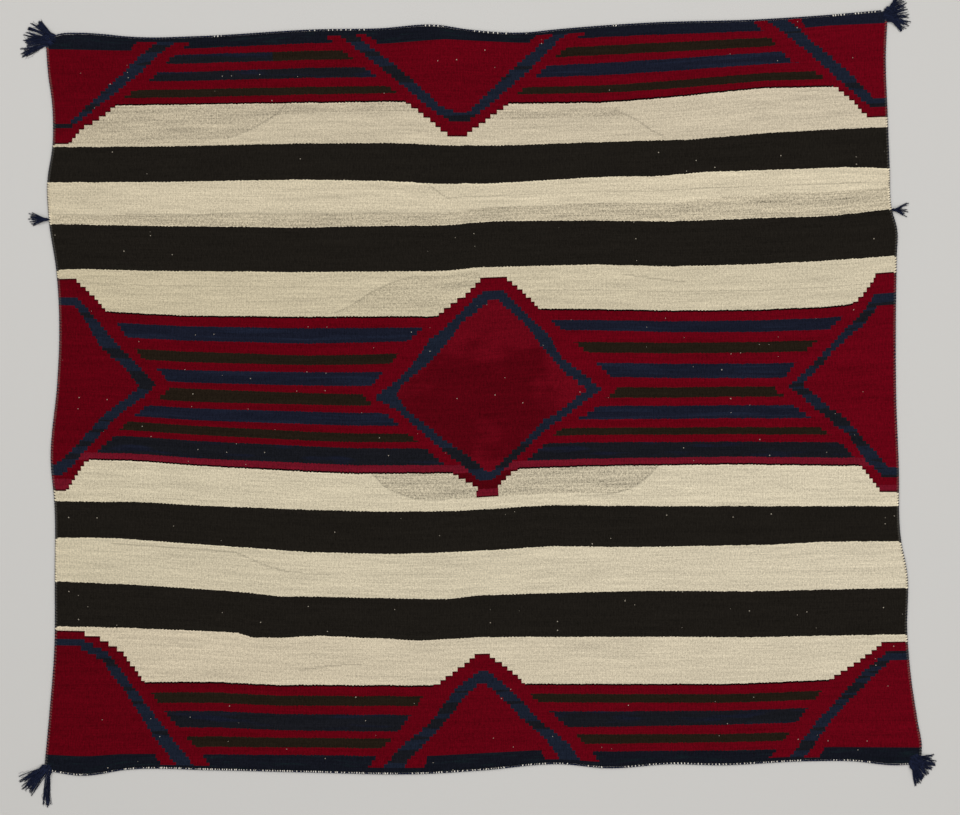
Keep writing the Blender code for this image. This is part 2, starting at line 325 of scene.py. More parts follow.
# A smooth curve through the table's points, as a function of the first of each pair
def curveThrough(points, at):
    points = np.array(points, float)
    along, out = points[:, 0], points[:, 1]
    slopes = np.gradient(out, along)
    at = np.clip(at, along[0], along[-1])
    piece = np.clip(np.searchsorted(along, at, side="right") - 1, 0, len(along) - 2)
    width = along[piece + 1] - along[piece]
    t = (at - along[piece]) / width
    return (
        (2 * t**3 - 3 * t**2 + 1) * out[piece]
        + (t**3 - 2 * t**2 + t) * width * slopes[piece]
        + (3 * t**2 - 2 * t**3) * out[piece + 1]
        + (t**3 - t**2) * width * slopes[piece + 1]
    )


# Every line that the wefts follow, as (level, function of x), bottom to top
def loomLines():
    lines = [(loom["bottomLevel"], lambda x: curveThrough(outline["bottom"], x))]
    lines.append((loom["topLevel"], lambda x: curveThrough(outline["top"], x)))
    wholeWidth = (-loom["halfWidth"], loom["halfWidth"])
    for level, points in colourChanges.values():
        lines.append((level, lambda x, points=points: np.interp(x, *np.array(points, float).T)))
    for zone in stripeZones:
        lowLevel, lowPoints = colourChanges[zone["from"]]
        highLevel, highPoints = colourChanges[zone["to"]]
        stations = np.array(zone["stations"], float)
        floorLine = np.interp(stations, *np.array(lowPoints, float).T)
        roofLine = np.interp(stations, *np.array(highPoints, float).T)
        for stripe in zone["stripes"]:
            stripe["levels"] = []
            for edge in ("low", "high"):
                shares = (np.array(stripe[edge]) - floorLine) / (roofLine - floorLine)
                level = lowLevel + shares.mean() * (highLevel - lowLevel)
                stripe["levels"].append(level)
                # a stripe that starts part of the way across shares its neighbour's lines
                if stripe.get("span", wholeWidth)[0] == wholeWidth[0]:
                    lines.append((level, betweenLines(lowPoints, highPoints, stations, shares)))
    lines.sort(key=lambda line: line[0])
    return lines


def betweenLines(lowPoints, highPoints, stations, shares):
    def height(x):
        low = np.interp(x, *np.array(lowPoints, float).T)
        high = np.interp(x, *np.array(highPoints, float).T)
        return low + np.interp(x, stations, shares) * (high - low)

    return height


weftLines = loomLines()
levels = np.array([level for level, line in weftLines])


# Heights of every line above the points x, one row a line
def lineHeights(x):
    return np.array([line(x) for level, line in weftLines])


def sideEdges(y):
    return curveThrough(outline["left"], y), curveThrough(outline["right"], y)


# From the straight loom (u across, v up) to the uneven cloth, and back
def toCloth(u, v):
    u, v = np.broadcast_arrays(np.asarray(u, float), np.asarray(v, float))
    share = (u + loom["halfWidth"]) / (2 * loom["halfWidth"])
    piece = np.clip(np.searchsorted(levels, v, side="right") - 1, 0, len(levels) - 2)
    part = (v - levels[piece]) / (levels[piece + 1] - levels[piece])
    x = u.copy()
    for step in range(5):
        heights = lineHeights(x.ravel()).reshape((len(levels), *x.shape))
        low = np.take_along_axis(heights, piece[None], 0)[0]
        high = np.take_along_axis(heights, piece[None] + 1, 0)[0]
        y = low + part * (high - low)
        left, right = sideEdges(y)
        x = left + share * (right - left)
    return x, y


def toLoom(x, y):
    x, y = np.asarray(x, float), np.asarray(y, float)
    heights = lineHeights(x)
    v = np.array([np.interp(y[i], heights[:, i], levels) for i in range(len(x))])
    left, right = sideEdges(y)
    u = ((x - left) / (right - left) * 2 - 1) * loom["halfWidth"]
    return u, v


# The weaver's chart: for each row of the loom, where each arm's lines turn. A line that a row
# doesn't have stands far outside the cloth
def chartRows(rowMiddles):
    chart = {}
    for arm in armOrder:
        away = -loom["offCloth"] if arm in ("left", "midRight") else loom["offCloth"]
        chart[arm] = {line: np.full(len(rowMiddles), float(away)) for line in lineOrder}
    for zone in arms.values():
        for arm, lines in zone.items():
            for line, points in lines.items():
                u, v = toLoom(*np.array(points, float).T)
                if line == "foot" and v[0] > 0:
                    v[0], v[-1] = loom["topLevel"] + 1, colourChanges["redAbove"][0] - 1
                elif line == "foot":
                    v[0], v[-1] = colourChanges["navyEndBelow"][0] + 1, loom["bottomLevel"] - 1
                rows = loom["outerStepRows"] if line == "outer" else loom["blueStepRows"]
                step = rows * loom["rowHeight"]
                inside = (rowMiddles < v[0]) & (rowMiddles > v[-1])
                held = v[0] - (np.floor((v[0] - rowMiddles) / step) + 0.5) * step
                turn = np.interp(-held, -v, u)
                turn = np.round(turn / loom["warpPitch"]) * loom["warpPitch"]
                chart[arm][line][inside] = turn[inside]
    return chart


# Each grey patch's left and right end in the rows that it reaches, and its strength there
def patchRows(rowMiddles):
    spans = np.zeros((len(rowMiddles), 4))
    strength = np.zeros(len(rowMiddles))
    for patch in greyPatches:
        sides = {side: toLoom(*np.array(patch[side], float).T) for side in ("left", "right") if side in patch}
        top = max(v[0] for u, v in sides.values())
        foot = max(v[-1] for u, v in sides.values())
        rows = (rowMiddles < top) & (rowMiddles > foot)
        column = 2 if "second" in patch else 0
        spans[rows, column:column + 2] = (-loom["offCloth"], loom["offCloth"])
        for side, (u, v) in sides.items():
            ends = np.interp(-np.clip(rowMiddles, v[-1] + 0.1, v[0] - 0.1), -v, u)
            spans[rows, column + (side == "right")] = ends[rows]
        strength[rows] = patch["strength"]
    return spans, strength


# Each lazy line's run within each row
def lazyRows(rowMiddles):
    spans = np.zeros((len(rowMiddles), 4))
    taken = np.zeros(len(rowMiddles), int)
    half = loom["rowHeight"] / 2
    for points in lazyLines:
        u, v = toLoom(*np.array(points, float).T)
        above = np.interp(-np.clip(rowMiddles + half, v[-1], v[0]), -v, u)
        below = np.interp(-np.clip(rowMiddles - half, v[-1], v[0]), -v, u)
        for row in np.nonzero((rowMiddles < v[0]) & (rowMiddles > v[-1]) & (taken < 4))[0]:
            low, high = sorted((above[row], below[row]))
            spans[row, taken[row]:taken[row] + 2] = (low - 1.0, high + 1.0)
            taken[row] += 2
    return spans


print("loom and chart ready")


# Mesh from arrays of corners and faces
def meshFrom(name, corners, faces):
    mesh = bpy.data.meshes.new(name)
    mesh.from_pydata(corners.tolist(), [], faces)
    mesh.update()
    return mesh


# The corners of every face of a grid
def quadsOf(grid):
    return np.stack([grid[:-1, :-1], grid[:-1, 1:], grid[1:, 1:], grid[1:, :-1]], -1).reshape(-1, 4)


def addPiece(name, mesh, material, node):
    piece = bpy.data.objects.new(name, mesh)
    bpy.context.scene.collection.objects.link(piece)
    mesh.materials.append(material)
    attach(piece, "root")
    if node:
        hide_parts(node)
    return piece


def cornerMap(mesh, name, values):
    layer = mesh.uv_layers.new(name=name)
    index = np.empty(len(mesh.loops), int)
    mesh.loops.foreach_get("vertex_index", index)
    layer.data.foreach_set("uv", values[index].ravel())


# Low swells where the cloth doesn't lie quite flat, 0 to 1
def swell(x, y):
    wave = (
        np.sin(x / 212 + 0.8) * np.cos(y / 167 - 0.4)
        + 0.7 * np.sin(x / 121 - y / 260 + 2.1)
        + 0.5 * np.cos(y / 74 + x / 330)
    )
    return np.clip(0.5 + 0.22 * wave, 0, 1)


def wovenPanel():
    half, low, high = loom["halfWidth"], loom["bottomLevel"], loom["topLevel"]
    inset = np.array([*loom["edgeSteps"], loom["edgeRound"]])
    across = np.linspace(-half + inset[-1], half - inset[-1], round(2 * half / loom["columnWidth"]))
    us = np.concatenate([-half + inset[:-1], across, half - inset[-2::-1]])
    count = round((high - low - 2 * inset[-1]) / loom["rowHeight"])
    up = np.linspace(low + inset[-1], high - inset[-1], count + 1)
    vs = np.concatenate([low + inset[:-1], up, high - inset[-2::-1]])
    u, v = np.meshgrid(us, vs)
    x, y = toCloth(u, v)
    edge = np.minimum(np.minimum(u + half, half - u), np.minimum(v - low, high - v))
    fullness = np.sqrt(1 - (1 - np.clip(edge / loom["edgeRound"], 0, 1)) ** 2)
    middle = loom["thickness"] / 2 + loom["lift"] * swell(x, y)
    top = np.stack([x, y, middle + loom["thickness"] / 2 * fullness], -1) * mm
    under = np.stack([x, y, middle - loom["thickness"] / 2 * fullness], -1) * mm
    rows, columns = u.shape
    upper = np.arange(rows * columns).reshape(rows, columns)
    lower = upper.copy()
    inner = (slice(1, -1), slice(1, -1))
    lower[inner] = rows * columns + np.arange((rows - 2) * (columns - 2)).reshape(rows - 2, columns - 2)
    corners = np.concatenate([top.reshape(-1, 3), under[inner].reshape(-1, 3)])
    faces = np.concatenate([quadsOf(upper), quadsOf(lower)[:, ::-1]])
    mesh = meshFrom("woven_panel", corners, faces.tolist())
    mesh.shade_smooth()
    plain = np.stack([u, v], -1).reshape(-1, 2) * mm
    plainUnder = plain.reshape(rows, columns, 2)[inner].reshape(-1, 2)
    cornerMap(mesh, "loomMap", np.concatenate([plain, plainUnder]))
    bakeLayout(mesh, plain, rows, columns)
    rowMiddles = (vs[:-1] + vs[1:]) / 2
    rowOf = np.tile(np.repeat(np.arange(rows - 1), columns - 1), 2)
    writeChart(mesh, chartRows(rowMiddles), rowOf)
    spans, strength = patchRows(rowMiddles)
    writeRows(mesh, "greyRows", spans, rowOf)
    writeRows(mesh, "greyStrength", np.repeat(strength[:, None], 4, 1) / mm, rowOf)
    writeRows(mesh, "lazyRows", lazyRows(rowMiddles), rowOf)
    return mesh


# One flat layout for the whole cloth: the face above, the underside below it, neither overlapping
layout = {"margin": 0.004, "split": 0.36}


def bakeLayout(mesh, plain, rows, columns):
    size = np.array([2 * loom["halfWidth"], loom["topLevel"] - loom["bottomLevel"]]) * mm
    start = np.array([-loom["halfWidth"], loom["bottomLevel"]]) * mm
    share = (plain - start) / size
    margin, split = layout["margin"], layout["split"]
    across = margin + share[:, 0] * (1 - 2 * margin)
    face = np.column_stack([across, split + share[:, 1] * (1 - split - margin)])
    back = np.column_stack([across, margin + share[:, 1] * (split - 3 * margin)])
    quads = quadsOf(np.arange(rows * columns).reshape(rows, columns))
    values = np.concatenate([face[quads], back[quads[:, ::-1]]]).reshape(-1, 2)
    layer = mesh.uv_layers.new(name="OFBake")
    layer.data.foreach_set("uv", values.ravel())


def writeChart(mesh, chart, rowOf):
    for arm in armOrder:
        writeRows(mesh, f"{arm}Arm", np.stack([chart[arm][line] for line in lineOrder], -1), rowOf)
    near = []
    for arm in armOrder:
        outer = chart[arm]["outer"]
        beside = np.stack([np.roll(outer, 1), np.roll(outer, -1)])
        near.append(beside.min(0) if arm in ("left", "midRight") else beside.max(0))
    writeRows(mesh, "besideRows", np.stack(near, -1), rowOf)


# Four numbers a row, in millimetres, kept on every face of that row
def writeRows(mesh, name, values, rowOf):
    store = mesh.attributes.new(name, "FLOAT_COLOR", "FACE")
    store.data.foreach_set("color", (values * mm)[rowOf].ravel())


# Node helpers
def plug(tree, socket, value):
    if isinstance(value, bpy.types.NodeSocket):
        tree.links.new(value, socket)
    else:
        socket.default_value = value


def calc(tree, operation, *values):
    step = tree.nodes.new("ShaderNodeMath")
    step.operation = operation
    for socket, value in zip(step.inputs, values):
        plug(tree, socket, value)
    return step.outputs[0]


def blend(tree, share, first, second, mode="MIX"):
    step = tree.nodes.new("ShaderNodeMix")
    step.data_type = "RGBA"
    step.blend_type = mode
    for socket, value in zip((step.inputs[0], step.inputs[6], step.inputs[7]), (share, first, second)):
        plug(tree, socket, value)
    return step.outputs[2]


def anyOf(tree, masks):
    total = masks[0]
    for mask in masks[1:]:
        total = calc(tree, "MAXIMUM", total, mask)
    return total


def allOf(tree, *masks):
    total = masks[0]
    for mask in masks[1:]:
        total = calc(tree, "MULTIPLY", total, mask)
    return total


def notOf(tree, mask):
    return calc(tree, "SUBTRACT", 1.0, mask)


noiseSpread = 3.2


# Noise about zero, from -1 to 1, with its grains that long across and up in millimetres
def grain(tree, place, across, up, detail, seed):
    mapping = tree.nodes.new("ShaderNodeMapping")
    plug(tree, mapping.inputs["Vector"], place)
    mapping.inputs["Scale"].default_value = (1 / across, 1 / up, 1.0)
    mapping.inputs["Location"].default_value = (seed * 7.31, seed * 3.17, 0.0)
    noise = tree.nodes.new("ShaderNodeTexNoise")
    noise.noise_dimensions = "2D"
    noise.inputs["Scale"].default_value = 1.0
    noise.inputs["Detail"].default_value = detail
    plug(tree, noise.inputs["Vector"], mapping.outputs[0])
    about = calc(tree, "SUBTRACT", noise.outputs["Fac"], 0.5)
    return calc(tree, "MULTIPLY", about, noiseSpread)


# Whether a value lies from low to high
def within(tree, value, low, high):
    return calc(tree, "COMPARE", value, (low + high) / 2, (high - low) / 2)


def mapPlace(tree, name):
    layer = tree.nodes.new("ShaderNodeUVMap")
    layer.uv_map = name
    return layer.outputs[0]


def raiseSurface(tree, shader, height, look):
    bump = tree.nodes.new("ShaderNodeBump")
    bump.inputs["Strength"].default_value = look["bumpStrength"]
    bump.inputs["Distance"].default_value = look["bumpDepth"] * mm
    tree.links.new(height, bump.inputs["Height"])
    tree.links.new(bump.outputs[0], shader.inputs["Normal"])


# A colour as seen on a screen, 0 to 255, made linear
def seen(red, green, blue):
    shades = []
    for value in (red, green, blue):
        share = value / 255
        shades.append(share / 12.92 if share <= 0.04045 else ((share + 0.055) / 1.055) ** 2.4)
    return (*shades, 1.0)


# Wools, each with its colour as seen; shadow and stepShadow are painted shadow colours
wools = {
    "brown": (28, 25, 21), "crimson": (88, 2, 14), "crimsonRight": (95, 3, 17), "magenta": (102, 17, 32),
    "deepCrimson": (74, 3, 11), "diamond": (95, 6, 19), "diamondMiddle": (79, 3, 13),
    "navy": (22, 25, 38), "navyLight": (25, 30, 45), "ink": (22, 23, 28), "lineBlue": (24, 30, 43),
    "olive": (31, 24, 17), "endNavy": (18, 20, 28), "endTeal": (19, 27, 32), "shadow": (14, 4, 5),
    "stepShadow": (52, 4, 10), "lint": (176, 166, 150), "warp": (240, 234, 218),
}
# Each cream band: the colour changes that it lies between, and its colour at the left and the right, lighter
# towards the right
creams = (
    {"from": "redBelow", "to": "whiteSix", "left": (199, 186, 161), "right": (204, 193, 169)},
    {"from": "brownFour", "to": "whiteFive", "left": (198, 187, 161), "right": (206, 195, 171)},
    {"from": "brownThree", "to": "whiteFour", "left": (200, 189, 163), "right": (208, 197, 172)},
    {"from": "redMiddle", "to": "whiteThree", "left": (192, 180, 152), "right": (199, 188, 163)},
    {"from": "brownTwo", "to": "whiteTwo", "left": (199, 187, 161), "right": (207, 195, 169)},
    {"from": "brownOne", "to": "whiteOne", "left": (192, 180, 155), "right": (196, 184, 161)},
)

cloth = {
    "roughness": 0.95, "specular": 0.008, "sheen": 0.012, "sheenRoughness": 0.6,
    "tooth": 0.5, "drift": 0.7, "edgeLine": 3.4, "bumpStrength": 0.55, "bumpDepth": 0.5,
    "ribShade": 0.10, "ribMean": 0.64, "weftPitch": 1.15, "weftHeight": 0.22, "fuzzHeight": 0.16,
    "lintShare": 0.955, "lintCell": 19, "lintLeast": 0.022, "lintSpread": 0.04, "lintCover": 0.75,
    "creamUneven": 0.25, "greyUneven": 0.22, "dyedUneven": 0.27, "greyShade": (0.80, 0.795, 0.79),
    "lazyShade": 0.78, "ridgeHighlight": 0.10, "raisedEdge": 2.2, "turnedHighlight": 1.12, "turnedPale": 0.05,
    "tabRows": (-200, -170), "centreDarkRows": (-128, -84), "topRight": (0.55, 0.95), "darkLotEdge": 0.22,
}
# Grains of the wool: length across, length up, detail and seed
grains = {
    "drift": (34, 400, 3.0, 5.0), "blueLot": (240, 9, 2.0, 14.0), "inkLot": (130, 16, 2.0, 15.0),
    "tealLot": (60, 5, 2.0, 16.0), "darkLot": (420, 24, 1.0, 9.0), "wander": (90, 70, 4.0, 17.0),
    "mottle": (4.2, 5.0, 2.0, 1.0), "wefts": (80, 2.7, 2.0, 3.0), "broad": (260, 12.0, 2.0, 2.0),
    "fine": (2.6, 2.0, 1.0, 4.0), "warps": (2.6, 15.0, 1.0, 6.0),
}
grainShares = {"mottle": 0.65, "wefts": 0.55, "broad": 0.35, "fine": 0.85, "warps": 0.6}
# Where each dye lot's second colour sets in and where it is full
lotEdges = {"blueLot": (0.1, 0.5), "inkLot": (0.15, 0.6), "tealLot": (0.2, 0.7)}
# The deeper dye about the middle of the centre diamond
middleDye = {"middle": (-4.0, 12.0), "reach": (172.0, 118.0), "wander": 0.75, "edge": (1.1, 0.55)}


def stripesOf(wool):
    return [stripe for zone in stripeZones for stripe in zone["stripes"] if stripe["wool"] == wool]


def stripedWool(name, lift, paleShare):
    material, tree, shader = newMaterial(name)
    scaled = tree.nodes.new("ShaderNodeVectorMath")
    scaled.operation = "SCALE"
    tree.links.new(mapPlace(tree, "loomMap"), scaled.inputs[0])
    scaled.inputs["Scale"].default_value = 1 / mm
    place = scaled.outputs[0]
    parts = tree.nodes.new("ShaderNodeSeparateXYZ")
    tree.links.new(place, parts.inputs[0])
    u, v = parts.outputs[0], parts.outputs[1]

    def grainOf(name):
        return grain(tree, place, *grains[name])

    # each warp lifts or lowers the colour change a little
    warp = calc(tree, "FLOOR", calc(tree, "DIVIDE", u, loom["warpPitch"]))
    odd = calc(tree, "FLOORED_MODULO", warp, 2.0)
    chance = tree.nodes.new("ShaderNodeTexWhiteNoise")
    chance.noise_dimensions = "1D"
    tree.links.new(warp, chance.inputs["W"])
    tooth = calc(tree, "MULTIPLY_ADD", chance.outputs["Value"], 2 * cloth["tooth"], -cloth["tooth"])
    tooth = calc(tree, "MULTIPLY_ADD", odd, cloth["tooth"], tooth)
    drift = calc(tree, "MULTIPLY", grainOf("drift"), cloth["drift"])
    level = calc(tree, "ADD", v, calc(tree, "ADD", tooth, drift))
    acrossShare = calc(tree, "MULTIPLY_ADD", u, 0.5 / loom["halfWidth"], 0.5)

    def between(low, high):
        return within(tree, level, low, high)

    def shade(wool):
        return seen(*wools[wool])

    def changeLevel(change):
        return colourChanges[change][0]

    def lot(name, first, second):
        return blend(tree, soft(tree, grainOf(name), *lotEdges[name]), shade(first), shade(second))

    brownBands = anyOf(tree, [between(changeLevel(low), changeLevel(high)) for low, high in (
        ("whiteSix", "brownFour"), ("whiteFive", "brownThree"), ("whiteThree", "brownTwo"),
        ("whiteTwo", "brownOne"))])
    navyEnds = anyOf(tree, [
        calc(tree, "LESS_THAN", level, changeLevel("navyEndBelow")),
        calc(tree, "GREATER_THAN", level, changeLevel("redAbove"))])
    pinkRows = between(changeLevel("whiteFour"), stripeZones[1]["stripes"][-1]["levels"][0])
    tabRows = between(*cloth["tabRows"])
    # painted shadow: a thin dark line on the red side of each edge between a red zone and the cream
    line = cloth["edgeLine"]
    edgeLines = anyOf(tree, [
        between(changeLevel("whiteOne"), changeLevel("whiteOne") + line),
        between(changeLevel("redMiddle") - line, changeLevel("redMiddle")),
        between(changeLevel("whiteFour"), changeLevel("whiteFour") + line),
        between(changeLevel("redBelow") - line, changeLevel("redBelow"))])

    def stripeMask(stripe):
        mask = between(*stripe["levels"])
        if "span" in stripe:
            mask = allOf(tree, mask, within(tree, u, *stripe["span"]))
        return mask

    # the dye lots change from weft to weft and drift along each
    # the crimson and the cream bands grow lighter from left to right
    crimson = blend(tree, acrossShare, shade("crimson"), shade("crimsonRight"))
    navyShade = lot("blueLot", "navy", "navyLight")
    inkShade = lot("inkLot", "ink", "navy")
    endShade = lot("tealLot", "endNavy", "endTeal")
    topRight = allOf(tree, calc(tree, "GREATER_THAN", v, 0.0), soft(tree, acrossShare, *cloth["topRight"]))
    endShade = blend(tree, topRight, endShade, shade("navy"))
    dark = {wool: anyOf(tree, [stripeMask(stripe) for stripe in stripesOf(wool)])
            for wool in ("navy", "ink", "olive")}
    colour = crimson
    for mask, tone in (
        (pinkRows, shade("magenta")), (dark["navy"], navyShade), (dark["ink"], inkShade),
        (dark["olive"], shade("olive")),
    ):
        colour = blend(tree, mask, colour, tone)
    creamMasks = []
    for band in creams:
        creamMasks.append(between(changeLevel(band["from"]), changeLevel(band["to"])))
        tone = blend(tree, acrossShare, seen(*band["left"]), seen(*band["right"]))
        colour = blend(tree, creamMasks[-1], colour, tone)
    creamBands = anyOf(tree, creamMasks)
    for mask, tone in ((brownBands, shade("brown")), (navyEnds, endShade), (edgeLines, shade("shadow"))):
        colour = blend(tree, mask, colour, tone)

    # the nine motifs, row by row
    uPlain = calc(tree, "MULTIPLY", u, mm)
    sides = {arm: armSides(tree, arm, uPlain) for arm in armOrder}
    outer = motif(tree, sides, "outer")
    blueOut = motif(tree, sides, "blueOut")
    blueIn = motif(tree, sides, "blueIn")
    pastFeet = motif(tree, sides, "foot")
    inner = allOf(tree, blueIn, notOf(tree, pastFeet))
    middleZone = between(changeLevel("brownThree"), changeLevel("whiteThree"))
    centre = allOf(tree, sides["midLeft"]["outer"], sides["midRight"]["outer"], middleZone)
    # painted shadow: the red border's row along each step's edge against the cream is made dark
    beside = insideBeside(tree, uPlain)
    stepShadow = allOf(tree, outer, notOf(tree, beside), creamBands)
    lowBorder = allOf(tree, centre, calc(tree, "LESS_THAN", level, changeLevel("whiteFour")))
    border = blend(tree, lowBorder, crimson, shade("deepCrimson"))
    border = blend(tree, anyOf(tree, [pinkRows, tabRows]), border, shade("magenta"))
    colour = blend(tree, outer, colour, border)
    colour = blend(tree, stepShadow, colour, shade("stepShadow"))
    darkLot = calc(tree, "GREATER_THAN", grainOf("darkLot"), cloth["darkLotEdge"])
    darkLot = blend(tree, centre, darkLot, between(*cloth["centreDarkRows"]))
    colour = blend(tree, blueOut, colour, blend(tree, darkLot, shade("lineBlue"), shade("ink")))
    colour = blend(tree, allOf(tree, blueIn, pastFeet), colour, endShade)
    squares = []
    for value, middle, reach in zip((u, v), middleDye["middle"], middleDye["reach"]):
        away = calc(tree, "DIVIDE", calc(tree, "SUBTRACT", value, middle), reach)
        squares.append(calc(tree, "POWER", away, 2.0))
    far = calc(tree, "MULTIPLY_ADD", grainOf("wander"), middleDye["wander"], calc(tree, "ADD", *squares))
    redInside = blend(tree, soft(tree, far, *middleDye["edge"]), shade("diamond"), shade("diamondMiddle"))
    colour = blend(tree, inner, colour, blend(tree, centre, crimson, redInside))

    # carded patches and lazy lines in the cream
    creamOnly = allOf(tree, creamBands, notOf(tree, anyOf(tree, [outer, blueOut])))
    inPatch = allOf(tree, rowTest(tree, "greyRows", uPlain), creamOnly)
    grey = allOf(tree, inPatch, rowNumbers(tree, "greyStrength")[0])
    colour = blend(tree, grey, colour, (*cloth["greyShade"], 1.0), "MULTIPLY")
    thinLines = [rowTest(tree, "lazyRows", uPlain)]
    for low, high, left, right in weftStreaks:
        thinLines.append(allOf(tree, between(low, high), within(tree, u, left, right)))
    lineTone = (*[cloth["lazyShade"]] * 3, 1.0)
    colour = blend(tree, allOf(tree, anyOf(tree, thinLines), creamOnly), colour, lineTone, "MULTIPLY")

    # uneven wool: carding along the wefts, heather across them, and painted shade along the ribs of the warp
    fine = grainOf("fine")
    mixed = calc(tree, "MULTIPLY", grainOf("mottle"), grainShares["mottle"])
    mixed = calc(tree, "MULTIPLY_ADD", grainOf("wefts"), grainShares["wefts"], mixed)
    mixed = calc(tree, "MULTIPLY_ADD", grainOf("broad"), grainShares["broad"], mixed)
    mixed = calc(tree, "MULTIPLY_ADD", fine, grainShares["fine"], mixed)
    warps = calc(tree, "MULTIPLY", grainOf("warps"), notOf(tree, creamOnly))
    mixed = calc(tree, "MULTIPLY_ADD", warps, grainShares["warps"], mixed)
    moreInCream = cloth["creamUneven"] - cloth["dyedUneven"]
    amount = calc(tree, "MULTIPLY_ADD", creamOnly, moreInCream, cloth["dyedUneven"])
    amount = calc(tree, "MULTIPLY_ADD", grey, cloth["greyUneven"], amount)
    # painted shade: each warp rib's crest is made lighter and its sides darker in the colour itself
    ribPhase = calc(tree, "MULTIPLY", calc(tree, "DIVIDE", u, loom["warpPitch"]), math.pi)
    rib = calc(tree, "ABSOLUTE", calc(tree, "SINE", ribPhase))
    ribShade = calc(tree, "MULTIPLY_ADD", rib, cloth["ribShade"], 1 - cloth["ribMean"] * cloth["ribShade"])
    light = calc(tree, "MULTIPLY", calc(tree, "MULTIPLY_ADD", mixed, amount, 1.0), ribShade)
    # painted highlight: a thin band at the top of each cream band is made lighter, as a raised ridge catching
    # the light
    creamTops = [changeLevel(band["to"]) for band in creams]
    highlightedRidges = anyOf(tree, [between(top - cloth["raisedEdge"], top) for top in creamTops])
    # lift scales the whole colour: above 1 it is a painted highlight, used for the selvage turns
    light = calc(tree, "MULTIPLY", light, calc(tree, "MULTIPLY_ADD", highlightedRidges, cloth["ridgeHighlight"], lift))
    combined = tree.nodes.new("ShaderNodeCombineColor")
    for socket in combined.inputs:
        tree.links.new(light, socket)
    colour = blend(tree, 1.0, colour, combined.outputs[0], "MULTIPLY")
    colour = blend(tree, lint(tree, place), colour, shade("lint"))
    colour = blend(tree, paleShare, colour, shade("warp"))
    tree.links.new(colour, shader.inputs["Base Color"])

    # wefts beaten down over the warp, each warp a rib
    weftTurn = calc(tree, "MULTIPLY", v, 2 * math.pi / cloth["weftPitch"])
    weftPhase = calc(tree, "MULTIPLY_ADD", odd, math.pi, weftTurn)
    weft = calc(tree, "MULTIPLY_ADD", calc(tree, "SINE", weftPhase), cloth["weftHeight"], rib)
    height = calc(tree, "MULTIPLY_ADD", fine, cloth["fuzzHeight"], weft)
    raiseSurface(tree, shader, height, cloth)
    finishWool(shader)
    return material


# From 0 where the value reaches "none" to 1 where it reaches "full", with an even slope
def soft(tree, value, none, full):
    slope = tree.nodes.new("ShaderNodeMapRange")
    plug(tree, slope.inputs["Value"], value)
    slope.inputs["From Min"].default_value = none
    slope.inputs["From Max"].default_value = full
    return slope.outputs[0]


def rowNumbers(tree, name):
    store = tree.nodes.new("ShaderNodeAttribute")
    store.attribute_name = name
    split = tree.nodes.new("ShaderNodeSeparateColor")
    tree.links.new(store.outputs["Color"], split.inputs[0])
    return [*split.outputs, store.outputs["Alpha"]]


# Whether u lies in either of a row's two runs
def rowTest(tree, name, u):
    first, second, third, fourth = rowNumbers(tree, name)
    runs = []
    for low, high in ((first, second), (third, fourth)):
        runs.append(allOf(tree, calc(tree, "GREATER_THAN", u, low), calc(tree, "LESS_THAN", u, high)))
    return anyOf(tree, runs)


def finishWool(shader):
    shader.inputs["Roughness"].default_value = cloth["roughness"]
    shader.inputs["Specular IOR Level"].default_value = cloth["specular"]
    shader.inputs["Sheen Weight"].default_value = cloth["sheen"]
    shader.inputs["Sheen Roughness"].default_value = cloth["sheenRoughness"]


# Whether u lies inside each line of an arm in this row
def armSides(tree, arm, u):
    turns = rowNumbers(tree, f"{arm}Arm")
    test = "LESS_THAN" if arm in ("left", "midRight") else "GREATER_THAN"
    return {line: calc(tree, test, u, turn) for line, turn in zip(lineOrder, turns)}


def motif(tree, sides, line):
    middle = allOf(tree, sides["midLeft"][line], sides["midRight"][line])
    return anyOf(tree, [sides["left"][line], middle, sides["right"][line]])


def insideBeside(tree, u):
    left, midLeft, midRight, right = rowNumbers(tree, "besideRows")
    middle = allOf(tree, calc(tree, "GREATER_THAN", u, midLeft), calc(tree, "LESS_THAN", u, midRight))
    return anyOf(tree, [calc(tree, "LESS_THAN", u, left), middle, calc(tree, "GREATER_THAN", u, right)])


# Thinly scattered lint
def lint(tree, place):
    cells = tree.nodes.new("ShaderNodeTexVoronoi")
    cells.voronoi_dimensions = "2D"
    cells.inputs["Scale"].default_value = 1 / cloth["lintCell"]
    tree.links.new(place, cells.inputs["Vector"])
    pick = tree.nodes.new("ShaderNodeSeparateColor")
    tree.links.new(cells.outputs["Color"], pick.inputs[0])
    size = calc(tree, "MULTIPLY_ADD", pick.outputs[1], cloth["lintSpread"], cloth["lintLeast"])
    near = calc(tree, "LESS_THAN", cells.outputs["Distance"], size)
    picked = calc(tree, "GREATER_THAN", pick.outputs[0], cloth["lintShare"])
    return allOf(tree, near, picked, cloth["lintCover"])


# Noise fixed to the piece itself
def heatherOf(tree, scale):
    place = tree.nodes.new("ShaderNodeTexCoord")
    heather = tree.nodes.new("ShaderNodeTexNoise")
    heather.inputs["Scale"].default_value = scale
    tree.links.new(place.outputs["Object"], heather.inputs["Vector"])
    return heather


# Plied indigo yarn, with its fibres wound round it
yarn = {
    "colour": (14, 16, 29), "pale": (42, 50, 78), "fibrePitch": 1.1, "fibreStarts": 3,
    "heatherScale": 160.0, "heatherDetail": 3.0, "strandTone": 0.5, "twistShade": 0.12, "toneStart": -0.3,
    "bumpStrength": 0.6, "bumpDepth": 0.25,
}


